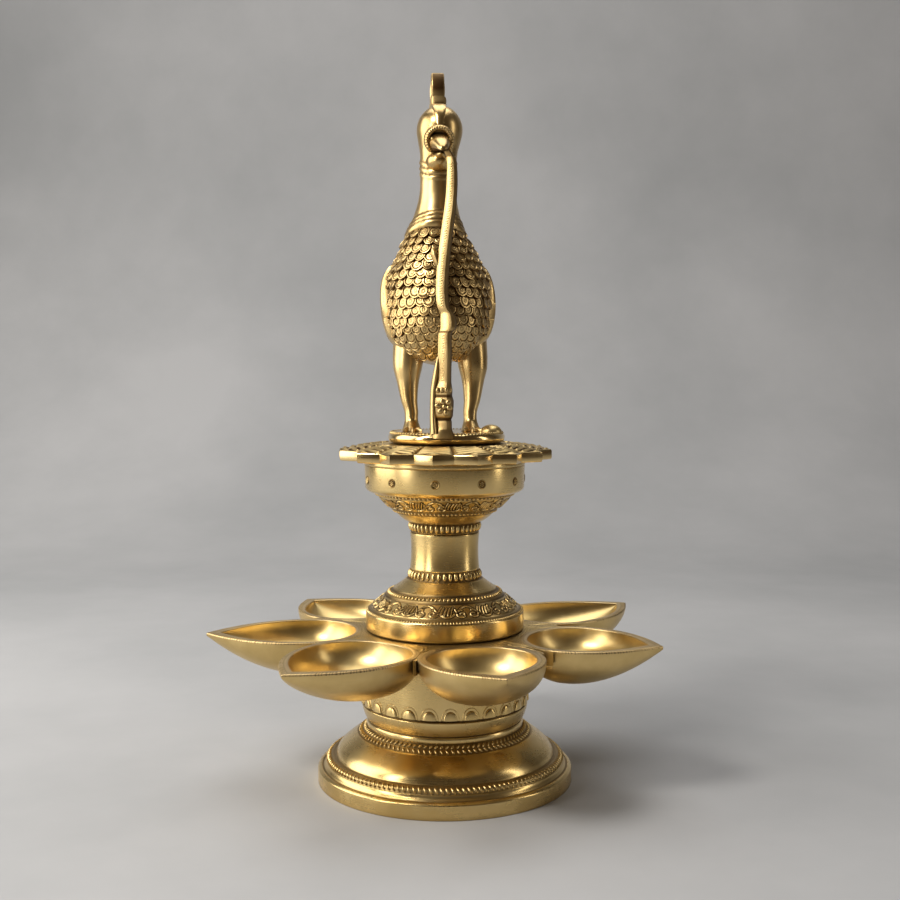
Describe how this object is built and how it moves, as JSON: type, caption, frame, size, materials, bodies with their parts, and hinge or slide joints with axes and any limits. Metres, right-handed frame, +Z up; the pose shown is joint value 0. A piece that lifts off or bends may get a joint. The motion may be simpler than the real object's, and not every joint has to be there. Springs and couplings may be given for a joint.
{
  "type": "oil lamp",
  "caption": "Brass devotional oil lamp: hollow turned foot, tray of leaf-shaped oil cups, flared column, drum bowl, lotus plate and a standing scaled bird with crest and tail.",
  "frame": {"origin": "on the ground below the middle of the plan, which the tips of the cups set", "axes": "+Z up along the lamp's column; the bird faces -Y; +X is the viewer's right in front of the bird"},
  "size_m": [0.1922, 0.1886, 0.3032],
  "materials": {
    "turned_brass": "satin, lathe-turned, with chased bands",
    "cast_brass": "satin, cast and filed by hand",
    "chased_brass": "chased, with dark patina in the recesses",
    "stud_brass": "dull, machined"
  },
  "bodies": {
    "foot": {"foot_base": "turned_brass", "foot_washer": "stud_brass", "foot_nut": "stud_brass", "foot_stud": "stud_brass"},
    "tray": {"oil_tray": "cast_brass"},
    "column": {"column": "turned_brass"},
    "drum": {"drum_bowl": "turned_brass", "bowl_stud": "stud_brass"},
    "lotus": {"lotus_plate": "cast_brass"},
    "bird": {"bird_plate": "cast_brass", "bird_stud": "stud_brass", "bird_body": "chased_brass", "bird_crest": "chased_brass", "bird_tail": "chased_brass", "creeper": "chased_brass"}
  },
  "joints": [
    {"name": "tray_lift", "type": "slide", "parent": "foot", "child": "tray", "axis": [0, 0, 1], "range_m": [0, 0.022]},
    {"name": "column_lift", "type": "slide", "parent": "tray", "child": "column", "axis": [0, 0, 1], "range_m": [0, 0.016]},
    {"name": "drum_lift", "type": "slide", "parent": "column", "child": "drum", "axis": [0, 0, 1], "range_m": [0, 0.0125]},
    {"name": "lotus_lift", "type": "slide", "parent": "drum", "child": "lotus", "axis": [0, 0, 1], "range_m": [0, 0.013]},
    {"name": "bird_lift", "type": "slide", "parent": "lotus", "child": "bird", "axis": [0, 0, 1], "range_m": [0, 0.0195]}
  ]
}
